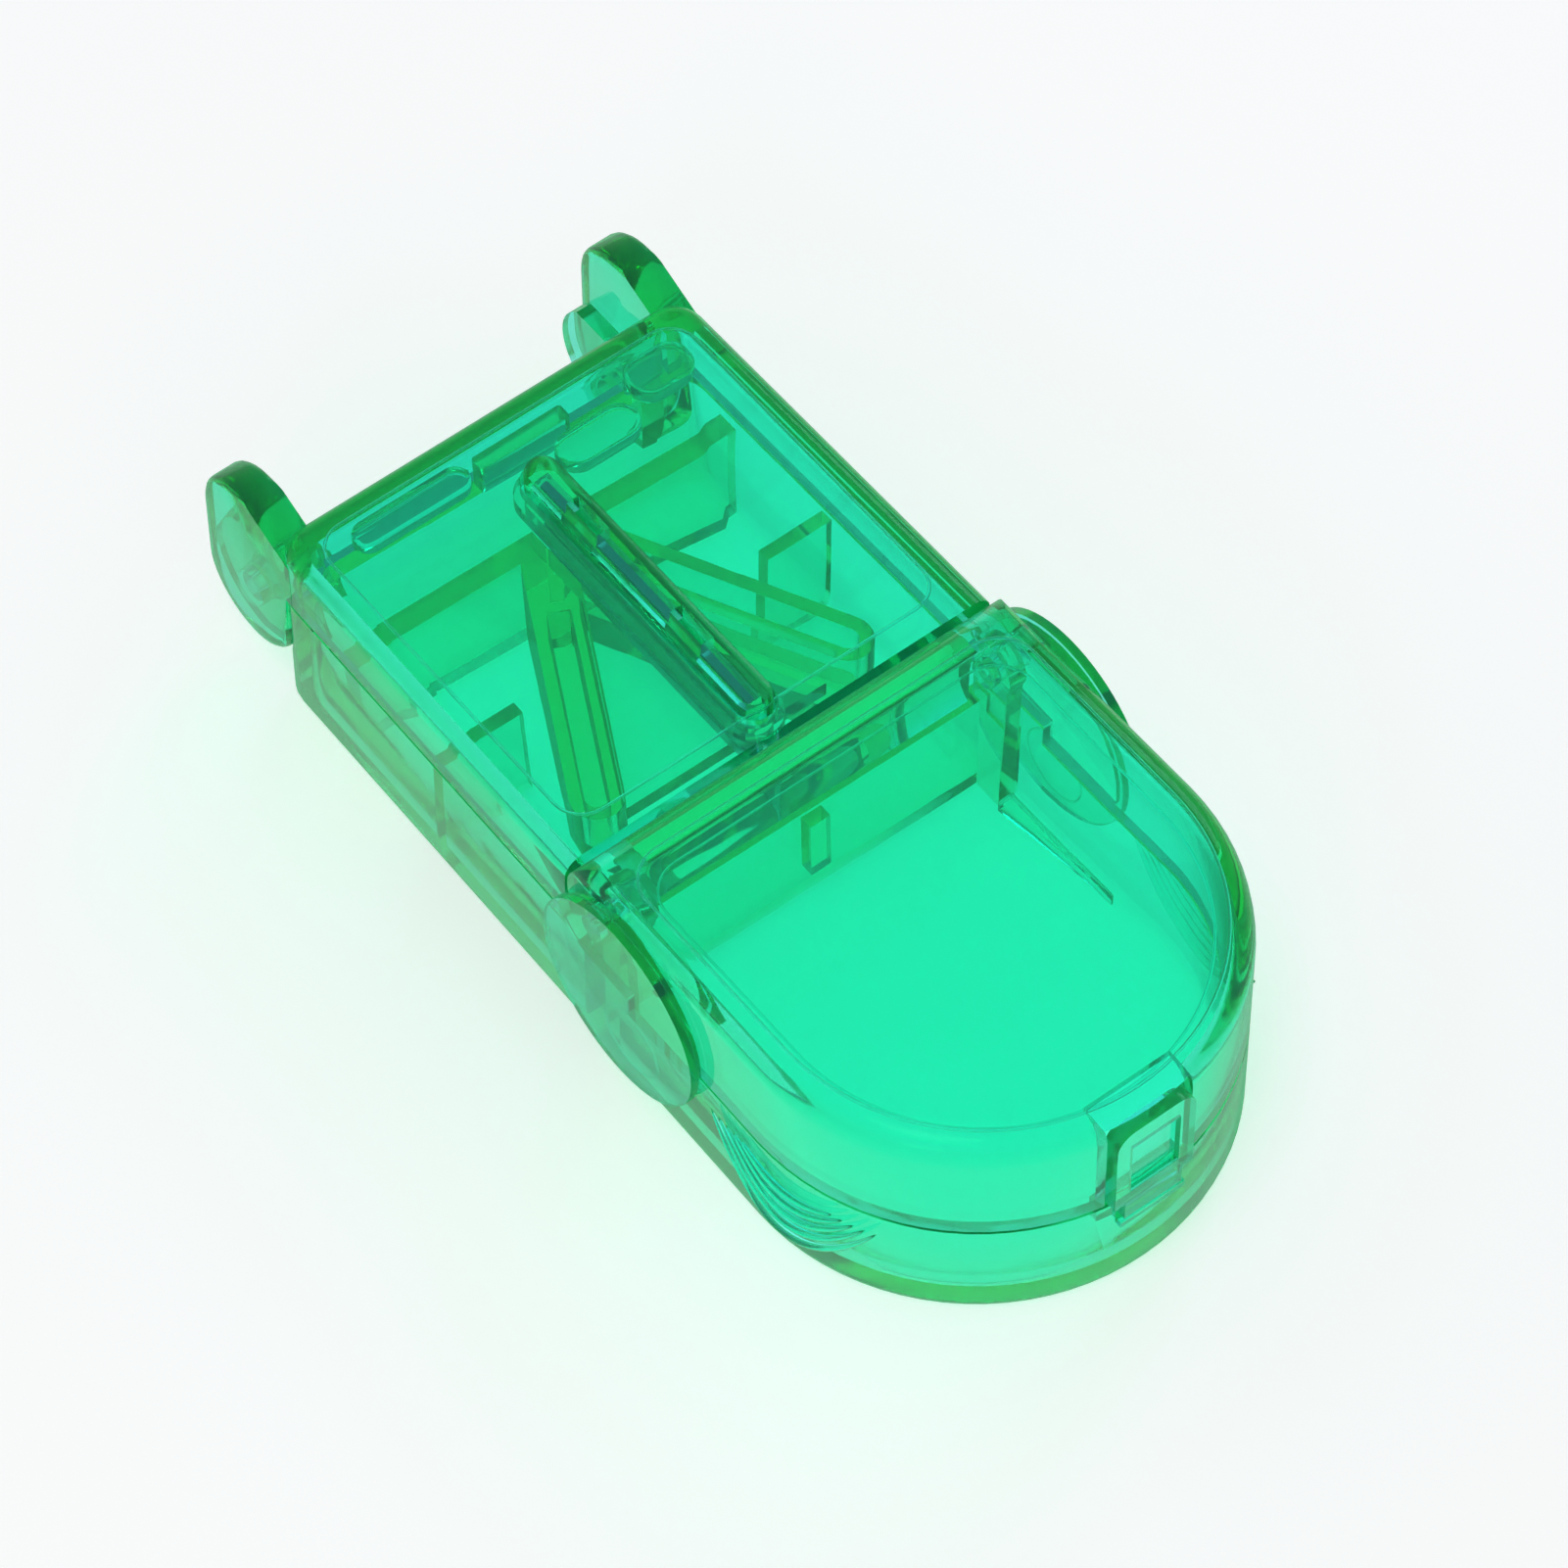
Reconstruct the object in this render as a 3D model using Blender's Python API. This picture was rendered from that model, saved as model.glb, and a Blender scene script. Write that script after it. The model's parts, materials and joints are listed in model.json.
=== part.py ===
"""Pill splitter: a clear green pocket tray with a hinged cutting lid at one end and a hinged storage lid at the other.

Frame: the floor of the tray rests on z = 0. +Y runs to the hinge ears behind the cutting bay, -Y to the round
storage end, +X to the right seen from the round end. Lengths are written in millimetres times MM, so in metres.
"""

import math

import bmesh
import bpy
from mathutils import Matrix, Vector

MM = 0.001

# Overall sizes
LENGTH = 85.0 * MM  # round end to the back of the hinge ears
WIDTH = 40.0 * MM  # over the two cheek discs
HEIGHT = 20.0 * MM  # floor to the top of the storage lid

# Body plan: a half-round front, straight sides that close in a little to the rear, rounded rear corners
HALF_FRONT = 19.0 * MM
HALF_REAR = 18.3 * MM
LATCH_PROUD = 0.4 * MM  # the thumb latch stands this far out of the front wall
EAR_REACH = 8.5 * MM  # from the rear wall to the back of the ears
REAR_CORNER = 2.5 * MM
WALL = 1.5 * MM
REAR_WALL = 2.6 * MM
FLOOR = 1.5 * MM
GAP = 0.3 * MM  # clearance between two pieces that face each other
BASE_EDGE = 1.0 * MM  # rounding under the tray

# Heights
SEAM_REAR = 11.85 * MM
SEAM_FRONT = 10.0 * MM
CUTTER_TOP = 17.8 * MM
DIVIDER_TOP = 11.4 * MM

# Cutting lid hinge
EAR_RADIUS = 5.0 * MM
EAR_THICK = 3.0 * MM
EAR_TOP = 18.9 * MM
EAR_PIVOT_Z = 7.8 * MM
EAR_EDGE = 0.6 * MM
LUG_THICK = 1.3 * MM
REAR_PIN_RADIUS = 1.2 * MM
REAR_PIN_HEAD = 1.8 * MM
HEAD_THICK = 0.5 * MM

# Storage lid hinge and cheek discs
DRUM_RADIUS = 4.0 * MM
DRUM_Y = -5.5 * MM
LID_STEP_Y = -9.4 * MM
DISC_RADIUS = 8.4 * MM
DISC_Y = -8.6 * MM
DISC_Z = 10.8 * MM
DISC_THICK = 0.7 * MM
POST_THICK = 1.5 * MM
POST_HALF = 1.6 * MM
POST_RADIUS = 2.1 * MM
FRONT_PIN_RADIUS = 0.8 * MM
FRONT_PIN_HEAD = 1.2 * MM
LID_EDGE_REAR = 1.5 * MM
LID_EDGE_FRONT = 2.0 * MM
LID_BEAM = 3.0 * MM  # the storage lid's rear edge is a thick beam that stiffens it between the hinge pins

# Divider between the two bays
DIVIDER_Y = -3.85 * MM
DIVIDER_THICK = 1.5 * MM
DIVIDER_POST = (1.8 * MM, 1.1 * MM, 6.4 * MM)  # width, depth and height of the small post on its front

# Pill cradle: a cross wall and two channelled arms that open to the front
CRADLE_Y = 25.7 * MM
CRADLE_WALL = 1.8 * MM
CRADLE_TOP = 11.4 * MM
ARM_ROOT = 1.0 * MM  # middle of an arm where it leaves the cross wall
ARM_END = (12.2 * MM, 3.6 * MM)
ARM_WIDTH = 4.0 * MM
ARM_SLOT = 1.8 * MM
ARM_SLOT_DEPTH = 4.6 * MM
BED_TOP = 8.1 * MM
BED_THICK = 1.4 * MM
SIDE_RIB_Y = 14.8 * MM
SIDE_RIB_REACH = 6.0 * MM
SIDE_RIB_THICK = 1.1 * MM

# Blade and its holder
BLADE_THICK = 0.5 * MM
BLADE_FRONT = 2.0 * MM
BLADE_REAR = 25.9 * MM
BLADE_HANG = 0.4 * MM  # cutting edge above the cradle bed
BLADE_HEIGHT = 8.8 * MM
BLADE_GRIND = 1.5 * MM
BLADE_NOSE = 1.6 * MM
HOLDER_HALF = 1.4 * MM
HOLDER_END = 1.6 * MM  # holder beyond the blade, each end
HOLDER_TOP = 19.2 * MM
HOLDER_BOTTOM = 13.0 * MM
FLANGE_HALF = 2.2 * MM
FLANGE_THICK = 1.2 * MM
WINDOWS = ((6.6 * MM, 3.6 * MM), (18.6 * MM, 3.6 * MM))  # start and length along the holder

# Thumb latch
LATCH_HALF = 3.4 * MM
LATCH_TOP = 18.8 * MM
LATCH_THICK = 1.4 * MM
LATCH_CORNER = 1.5 * MM
LATCH_AXIS_DROP = 0.4 * MM
LATCH_FRAME = 1.3 * MM
LATCH_DISH = 0.5 * MM
TONGUE_HALF = 2.5 * MM
TONGUE_THICK = 0.6 * MM
TONGUE_DROP = 1.8 * MM
LIP = 0.3 * MM
LEDGE = 0.6 * MM

# Places that follow from the sizes above
FRONT = -LENGTH / 2 + LATCH_PROUD
ARC_Y = FRONT + HALF_FRONT
REAR = LENGTH / 2 - EAR_REACH
EAR_PIVOT_Y = LENGTH / 2 - EAR_RADIUS
DRUM_Z = HEIGHT - DRUM_RADIUS
RIM_REAR = SEAM_REAR - GAP / 2
RIM_FRONT = SEAM_FRONT - GAP / 2
CUTTER_BOTTOM = SEAM_REAR + GAP / 2
LID_BOTTOM = SEAM_FRONT + GAP / 2
CUTTER_FRONT = DRUM_Y + DRUM_RADIUS + GAP
EAR_INSIDE = HALF_REAR - EAR_THICK
LUG_OUTSIDE = EAR_INSIDE - GAP
DISC_INSIDE = WIDTH / 2 - DISC_THICK
BLADE_EDGE = BED_TOP + BLADE_HANG
FAR = LENGTH  # a size that reaches past the whole object

MODEL = bpy.data.collections.new("pill_splitter")
CUTTERS = bpy.data.collections.new("cutters")


def half_width(y):
    """Half the outer width of the body at a place along its straight sides."""
    share = (y - ARC_Y) / (REAR - ARC_Y)
    return HALF_FRONT + (HALF_REAR - HALF_FRONT) * min(max(share, 0.0), 1.0)


def arc(cx, cy, radius, start, end, steps):
    """Points on an arc, angles in degrees, both ends included."""
    angles = [math.radians(start + (end - start) * i / steps) for i in range(steps + 1)]
    return [(cx + radius * math.cos(a), cy + radius * math.sin(a)) for a in angles]


def body_outline(inset, rear, corner):
    """The body's plan, moved in by inset, ended at rear with rounded corners."""
    front = arc(0.0, ARC_Y, HALF_FRONT - inset, 180, 360, 40)
    side = half_width(rear) - inset
    if corner <= 0.0:
        return front + [(side, rear), (-side, rear)]
    right = arc(side - corner, rear - corner, corner, 0, 90, 6)
    return front + right + [(-x, y) for x, y in reversed(right)]


def rear_outline(inset, front, rear, corner):
    """The plan of the rear half, cut off square at front."""
    side = half_width(rear) - inset
    right = arc(side - corner, rear - corner, corner, 0, 90, 6)
    near = half_width(front) - inset
    return [(-near, front), (near, front)] + right + [(-x, y) for x, y in reversed(right)]


def material(name, colour, roughness, metallic=0.0, alpha=1.0):
    mat = bpy.data.materials.new(name)
    mat.use_nodes = True
    shader = mat.node_tree.nodes["Principled BSDF"]
    shader.inputs["Base Color"].default_value = (*colour, 1.0)
    shader.inputs["Roughness"].default_value = roughness
    shader.inputs["Metallic"].default_value = metallic
    shader.inputs["Alpha"].default_value = alpha
    mat.diffuse_color = (*colour, alpha)
    return mat


def prism(name, outline, low, high, axis="Z"):
    """A flat outline given thickness: a plan along Z, a (y, z) profile along X, or an (x, z) profile along Y."""
    curve = bpy.data.curves.new(name, "CURVE")
    curve.dimensions = "2D"
    curve.fill_mode = "BOTH"
    curve.extrude = (high - low) / 2
    spline = curve.splines.new("POLY")
    spline.points.add(len(outline) - 1)
    for point, (u, v) in zip(spline.points, outline):
        point.co = (u, v, 0.0, 1.0)
    spline.use_cyclic_u = True
    guide = bpy.data.objects.new(name, curve)
    bpy.context.scene.collection.objects.link(guide)
    graph = bpy.context.evaluated_depsgraph_get()
    mesh = bpy.data.meshes.new_from_object(guide.evaluated_get(graph))
    bpy.data.objects.remove(guide)
    middle = (low + high) / 2
    turn = {
        "Z": Matrix(((1, 0, 0, 0), (0, 1, 0, 0), (0, 0, 1, middle), (0, 0, 0, 1))),
        "X": Matrix(((0, 0, 1, middle), (1, 0, 0, 0), (0, 1, 0, 0), (0, 0, 0, 1))),
        "Y": Matrix(((1, 0, 0, 0), (0, 0, -1, middle), (0, 1, 0, 0), (0, 0, 0, 1))),
    }[axis]
    form = bmesh.new()
    form.from_mesh(mesh)
    bmesh.ops.remove_doubles(form, verts=form.verts, dist=0.001 * MM)
    bmesh.ops.dissolve_limit(form, angle_limit=0.001, verts=form.verts, edges=form.edges)
    bmesh.ops.transform(form, matrix=turn, verts=form.verts)
    bmesh.ops.recalc_face_normals(form, faces=form.faces)
    form.to_mesh(mesh)
    form.free()
    mesh.materials.clear()
    mesh.name = name
    return bpy.data.objects.new(name, mesh)


def box(name, low, high):
    """A box from two opposite corners."""
    low, high = Vector(low), Vector(high)
    mesh = bpy.data.meshes.new(name)
    form = bmesh.new()
    place = Matrix.Translation((low + high) / 2) @ Matrix.Diagonal((*(high - low), 1.0))
    bmesh.ops.create_cube(form, size=1.0, matrix=place)
    form.to_mesh(mesh)
    form.free()
    return bpy.data.objects.new(name, mesh)


def rod(name, radius, low, high, y, z, sides=32):
    """A round bar along X."""
    mesh = bpy.data.meshes.new(name)
    form = bmesh.new()
    place = Matrix.Translation(((low + high) / 2, y, z)) @ Matrix.Rotation(math.pi / 2, 4, "Y")
    bmesh.ops.create_cone(
        form, cap_ends=True, segments=sides, radius1=radius, radius2=radius, depth=high - low, matrix=place
    )
    form.to_mesh(mesh)
    form.free()
    return bpy.data.objects.new(name, mesh)


def round_edges(obj, chosen, width, segments):
    """Rounds the sharp edges for which chosen(start, end) holds."""
    form = bmesh.new()
    form.from_mesh(obj.data)
    sharp = [e for e in form.edges if e.is_manifold and e.calc_face_angle(0.0) > math.radians(30)]
    edges = [e for e in sharp if chosen(e.verts[0].co, e.verts[1].co)]
    bmesh.ops.bevel(
        form, geom=edges, offset=width, segments=segments, profile=0.5, affect="EDGES", clamp_overlap=True
    )
    form.to_mesh(obj.data)
    form.free()
    return obj


def at_height(height):
    return lambda a, b: abs(a.z - height) < 0.01 * MM and abs(b.z - height) < 0.01 * MM


def combine(obj, operation, *others):
    """Adds one Boolean for each other shape, and keeps that shape as a hidden wire guide."""
    for other in others:
        modifier = obj.modifiers.new(f"{operation.lower()}_{other.name}", "BOOLEAN")
        modifier.operation = operation
        modifier.solver = "EXACT"
        modifier.object = other
        if other.name not in CUTTERS.objects:
            CUTTERS.objects.link(other)
        other.hide_render = True
        other.display_type = "WIRE"
    return obj


def finish(obj, mat, origin=(0.0, 0.0, 0.0), parent=None):
    """Names the piece's material, puts its origin on its joint's axis and hangs it on its parent."""
    origin = Vector(origin)
    obj.data.transform(Matrix.Translation(-origin))
    obj.data.materials.append(mat)
    obj.data.shade_smooth()
    obj.data.set_sharp_from_angle(angle=math.radians(35))
    obj.parent = parent
    obj.location = origin - (parent.location if parent else Vector())
    MODEL.objects.link(obj)
    return obj


def both_sides(maker):
    """The same shape on the left and on the right."""
    return [maker(side, tag) for side, tag in ((-1, "left"), (1, "right"))]


def span(side, near, far):
    """Low and high X of a stretch that is near to far from the middle, on one side."""
    return tuple(sorted((side * near, side * far)))


def ear_profile(grow, front):
    """The ear's side view: a round lower end, a square front edge, a rounded upper rear corner."""
    r = EAR_RADIUS + grow
    y, z, top = EAR_PIVOT_Y, EAR_PIVOT_Z, EAR_TOP + grow
    lower = arc(y, z, r, 180, 360, 20)
    upper = arc(y, top - r, r, 0, 90, 10)
    return lower + upper + [(front, CUTTER_TOP - LID_EDGE_REAR), (front, CUTTER_BOTTOM), (y - r, CUTTER_BOTTOM)]


def tray_hollow():
    """The inside of the tray, from its floor up; the rear wall is thicker than the sides."""
    outline = body_outline(WALL, REAR - REAR_WALL, REAR_CORNER)
    hollow = prism("tray_hollow", outline, FLOOR, HEIGHT)
    return round_edges(hollow, at_height(FLOOR), WALL / 2, 2)


def make_base_tray(mat):
    tray = prism("base_tray", body_outline(0.0, REAR, REAR_CORNER), 0.0, RIM_REAR)
    round_edges(tray, at_height(0.0), BASE_EDGE, 3)
    combine(tray, "DIFFERENCE", tray_hollow())
    combine(tray, "DIFFERENCE", box("front_rim_cut", (-FAR, -FAR, RIM_FRONT), (FAR, LID_STEP_Y, HEIGHT)))

    divider = box(
        "divider",
        (-half_width(0.0) + WALL / 2, DIVIDER_Y - DIVIDER_THICK / 2, FLOOR / 2),
        (half_width(0.0) - WALL / 2, DIVIDER_Y + DIVIDER_THICK / 2, DIVIDER_TOP),
    )
    wide, deep, high = DIVIDER_POST
    face = DIVIDER_Y - DIVIDER_THICK / 2
    post = box("divider_post", (-wide / 2, face - deep, DIVIDER_TOP - high), (wide / 2, face + GAP, DIVIDER_TOP - GAP))
    combine(tray, "UNION", divider, post)

    hinge_out = half_width(DRUM_Y + POST_RADIUS) - WALL - GAP
    hinge_in = hinge_out - POST_THICK

    def hinge_post(side, tag):
        head = arc(DRUM_Y, DRUM_Z, POST_RADIUS, -30, 210, 24)
        profile = [(DRUM_Y + POST_HALF, FLOOR / 2)] + head + [(DRUM_Y - POST_HALF, FLOOR / 2)]
        return prism(f"hinge_post_{tag}", profile, *span(side, hinge_in, hinge_out), axis="X")

    def hinge_foot(side, tag):
        low, high = span(side, hinge_in, hinge_out + GAP + WALL / 2)
        return box(
            f"hinge_foot_{tag}",
            (low, DRUM_Y - POST_HALF, FLOOR / 2),
            (high, DRUM_Y + POST_HALF, RIM_FRONT - GAP),
        )

    def side_rib(side, tag):
        wall = half_width(SIDE_RIB_Y) - WALL
        low, high = span(side, wall - SIDE_RIB_REACH, wall + WALL / 2)
        return box(
            f"side_rib_{tag}",
            (low, SIDE_RIB_Y - SIDE_RIB_THICK / 2, FLOOR / 2),
            (high, SIDE_RIB_Y + SIDE_RIB_THICK / 2, DIVIDER_TOP),
        )

    def rear_lug(side, tag):
        top = RIM_REAR - EAR_PIVOT_Z
        lean = math.degrees(math.asin(top / EAR_RADIUS))
        round_end = arc(EAR_PIVOT_Y, EAR_PIVOT_Z, EAR_RADIUS, lean, -90, 20)
        inner = REAR - REAR_WALL / 2
        profile = [(inner, RIM_REAR)] + round_end + [(inner, EAR_PIVOT_Z - EAR_RADIUS * 0.8)]
        return prism(f"rear_lug_{tag}", profile, *span(side, LUG_OUTSIDE - LUG_THICK, LUG_OUTSIDE), axis="X")

    combine(tray, "UNION", *both_sides(hinge_foot), *both_sides(hinge_post))
    combine(tray, "UNION", *both_sides(side_rib), *both_sides(rear_lug))

    def ear_room(side, tag):
        profile = ear_profile(GAP, EAR_PIVOT_Y - EAR_RADIUS - GAP)
        return prism(f"ear_room_{tag}", profile, *span(side, LUG_OUTSIDE, HALF_REAR + WALL), axis="X")

    def rear_bore(side, tag):
        low, high = span(side, LUG_OUTSIDE - LUG_THICK - GAP, LUG_OUTSIDE + GAP)
        return rod(f"rear_bore_{tag}", REAR_PIN_RADIUS + GAP, low, high, EAR_PIVOT_Y, EAR_PIVOT_Z)

    def front_bore(side, tag):
        low, high = span(side, hinge_in - GAP, hinge_out + GAP / 2)
        return rod(f"front_bore_{tag}", FRONT_PIN_RADIUS + GAP, low, high, DRUM_Y, DRUM_Z)

    combine(tray, "DIFFERENCE", *both_sides(ear_room), *both_sides(rear_bore), *both_sides(front_bore))

    pocket_half = TONGUE_HALF + GAP
    pocket_floor = FRONT + LATCH_THICK - TONGUE_THICK + LIP
    pocket_low = LID_BOTTOM - TONGUE_DROP - GAP
    pad = box(
        "latch_pad",
        (-pocket_half - WALL / 2, FRONT + WALL / 2, pocket_low - WALL / 2),
        (pocket_half + WALL / 2, pocket_floor + WALL, RIM_FRONT - GAP),
    )
    pocket = box(
        "latch_pocket", (-pocket_half, FRONT - WALL, pocket_low), (pocket_half, pocket_floor, HEIGHT)
    )
    ledge = box(
        "latch_ledge",
        (-pocket_half, -LENGTH / 2, pocket_low - LEDGE),
        (pocket_half, FRONT + WALL / 2, pocket_low),
    )
    combine(tray, "UNION", pad)
    combine(tray, "DIFFERENCE", pocket)
    combine(tray, "UNION", ledge)
    return finish(tray, mat)


def make_cradle(mat):
    side = half_width(CRADLE_Y) - WALL - GAP
    bottom = FLOOR + GAP
    cradle = box(
        "pill_cradle",
        (-side, CRADLE_Y - CRADLE_WALL / 2, bottom),
        (side, CRADLE_Y + CRADLE_WALL / 2, CRADLE_TOP),
    )
    apex_y = CRADLE_Y - CRADLE_WALL / 2
    end_x, end_y = ARM_END
    lean = math.atan2(end_x - ARM_ROOT, apex_y - end_y)
    length = math.hypot(end_x - ARM_ROOT, apex_y - end_y)

    def channel(side, tag, width, start, low, high):
        """A round-ended bar that runs from the cross wall out and forward."""
        half = width / 2
        tip = arc(0.0, -(length - ARM_WIDTH / 2), half, 180, 360, 12)
        outline = tip + [(half, -start), (-half, -start)]
        turned = []
        for x, y in outline:
            across = x * math.cos(lean) - y * math.sin(lean)
            along = x * math.sin(lean) + y * math.cos(lean)
            turned.append((side * (ARM_ROOT + across), apex_y + along))
        return prism(f"{tag}", turned, low, high)

    arms = [channel(s, f"arm_{t}", ARM_WIDTH, 0.0, bottom, CRADLE_TOP) for s, t in ((-1, "left"), (1, "right"))]
    combine(cradle, "UNION", *arms)
    inner = ARM_END[0] * 0.9
    bed = prism(
        "pill_bed",
        [(0.0, apex_y + CRADLE_WALL / 2), (-inner, end_y + WALL), (inner, end_y + WALL)],
        BED_TOP - BED_THICK,
        BED_TOP,
    )
    combine(cradle, "UNION", bed)
    slot_low = CRADLE_TOP - ARM_SLOT_DEPTH
    slots = [
        channel(s, f"arm_slot_{t}", ARM_SLOT, ARM_WIDTH * 1.4, slot_low, HEIGHT) for s, t in ((-1, "left"), (1, "right"))
    ]
    combine(cradle, "DIFFERENCE", *slots)
    blade_room = box(
        "blade_room",
        (-BLADE_THICK / 2 - 2 * GAP, BLADE_FRONT - WALL, BED_TOP),
        (BLADE_THICK / 2 + 2 * GAP, CRADLE_Y + CRADLE_WALL, HEIGHT),
    )
    combine(cradle, "DIFFERENCE", blade_room)
    return finish(cradle, mat)


def make_cutter_lid(mat, origin):
    lid = prism("cutter_lid", rear_outline(0.0, CUTTER_FRONT, REAR, REAR_CORNER), CUTTER_BOTTOM, CUTTER_TOP)
    not_front = CUTTER_FRONT + 0.1 * MM
    round_edges(
        lid,
        lambda a, b: at_height(CUTTER_TOP)(a, b) and max(a.y, b.y) > not_front,
        LID_EDGE_REAR,
        4,
    )
    inside = rear_outline(WALL, CUTTER_FRONT - WALL, REAR - WALL, REAR_CORNER - WALL / 2)
    hollow = prism("cutter_hollow", inside, CUTTER_BOTTOM - WALL, CUTTER_TOP - WALL)
    round_edges(hollow, at_height(CUTTER_TOP - WALL), WALL / 2, 2)
    combine(lid, "DIFFERENCE", hollow)

    def ear(side, tag):
        shape = prism(f"ear_{tag}", ear_profile(0.0, REAR - WALL * 1.5), *span(side, EAR_INSIDE, HALF_REAR), axis="X")
        rim = LENGTH / 2 - EAR_RADIUS * 2
        return round_edges(
            shape,
            lambda a, b: abs(a.x - b.x) < 0.01 * MM and min(a.y, b.y) > rim - GAP,
            EAR_EDGE,
            3,
        )

    def ear_bore(side, tag):
        low, high = span(side, EAR_INSIDE - GAP, HALF_REAR - EAR_THICK / 4)
        return rod(f"ear_bore_{tag}", REAR_PIN_RADIUS + GAP, low, high, EAR_PIVOT_Y, EAR_PIVOT_Z)

    combine(lid, "UNION", *both_sides(ear))
    combine(lid, "DIFFERENCE", *both_sides(ear_bore))
    slot = prism("holder_slot", holder_outline(GAP), CUTTER_BOTTOM, HEIGHT)
    combine(lid, "DIFFERENCE", slot)
    return finish(lid, mat, origin)


def holder_outline(grow, half=HOLDER_HALF):
    """The round-ended plan of the blade holder."""
    r = half + grow
    front = BLADE_FRONT - HOLDER_END + half
    rear = BLADE_REAR + HOLDER_END - half
    return arc(0.0, front, r, 180, 360, 14) + arc(0.0, rear, r, 0, 180, 14)


def make_blade_holder(mat, origin, parent):
    holder = prism("blade_holder", holder_outline(0.0), HOLDER_BOTTOM, HOLDER_TOP)
    round_edges(holder, at_height(HOLDER_TOP), WALL / 3, 2)
    top = CUTTER_TOP - WALL - GAP
    flange = prism("holder_flange", holder_outline(FLANGE_HALF - HOLDER_HALF), top - FLANGE_THICK, top)
    combine(holder, "UNION", flange)
    half = BLADE_THICK / 2 + GAP
    room = box(
        "blade_slot",
        (-half, BLADE_FRONT - GAP, HOLDER_BOTTOM - WALL),
        (half, BLADE_REAR + GAP, BLADE_EDGE + BLADE_HEIGHT + GAP),
    )
    combine(holder, "DIFFERENCE", room)
    for number, (start, length) in enumerate(WINDOWS):
        window = box(
            f"blade_window_{number}",
            (-half, BLADE_FRONT + start - HOLDER_END, BLADE_EDGE + BLADE_HEIGHT - WALL),
            (half, BLADE_FRONT + start - HOLDER_END + length, HEIGHT),
        )
        combine(holder, "DIFFERENCE", window)
    return finish(holder, mat, origin, parent)


def make_blade(mat, origin, parent):
    """A ground steel strip with a clipped rear lower corner."""
    half = BLADE_THICK / 2
    top = BLADE_EDGE + BLADE_HEIGHT
    section = [(-half, top), (-half, BLADE_EDGE + BLADE_GRIND), (0.0, BLADE_EDGE)]
    section += [(half, BLADE_EDGE + BLADE_GRIND), (half, top)]
    blade = prism("blade", section, BLADE_FRONT, BLADE_REAR, axis="Y")
    clip = prism(
        "blade_clip",
        [
            (BLADE_REAR - BLADE_NOSE, BLADE_EDGE - GAP),
            (BLADE_REAR + GAP, BLADE_EDGE - GAP),
            (BLADE_REAR + GAP, BLADE_EDGE + BLADE_NOSE * 2),
        ],
        -WALL,
        WALL,
        axis="X",
    )
    combine(blade, "DIFFERENCE", clip)
    return finish(blade, mat, origin, parent)


def lid_side_profile():
    """Side view of the storage lid: flat top, round drum at the hinge, a step up over the tray's higher rear rim."""
    drum = arc(DRUM_Y, DRUM_Z, DRUM_RADIUS, -90, 90, 32)
    return (
        [(-FAR, LID_BOTTOM), (LID_STEP_Y, LID_BOTTOM), (LID_STEP_Y, CUTTER_BOTTOM)]
        + drum
        + [(DRUM_Y, HEIGHT + WALL), (-FAR, HEIGHT + WALL)]
    )


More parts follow.
